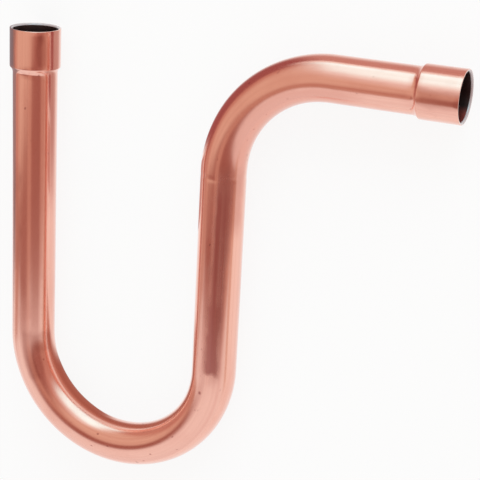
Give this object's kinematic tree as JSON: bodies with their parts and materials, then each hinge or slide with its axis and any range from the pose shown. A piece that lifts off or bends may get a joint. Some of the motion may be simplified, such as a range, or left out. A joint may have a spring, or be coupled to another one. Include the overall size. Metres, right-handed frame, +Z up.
{
  "type": "copper p-trap",
  "caption": "Copper tube bent half a turn into a liquid trap and back a quarter turn into a level arm, with a stretched solder socket at the inlet and at the outlet.",
  "frame": {"origin": "under the middle of the bounding box, on the plane that the trap lies on", "axes": "+X along the arm towards the outlet mouth, +Y along the inlet leg towards its mouth, +Z up, square to the plane of the bends"},
  "size_m": [0.1642, 0.1646, 0.018],
  "materials": {
    "copper": "bright drawn copper with light handling marks"
  },
  "bodies": {
    "root": {"trap_tube": "copper"}
  },
  "joints": []
}
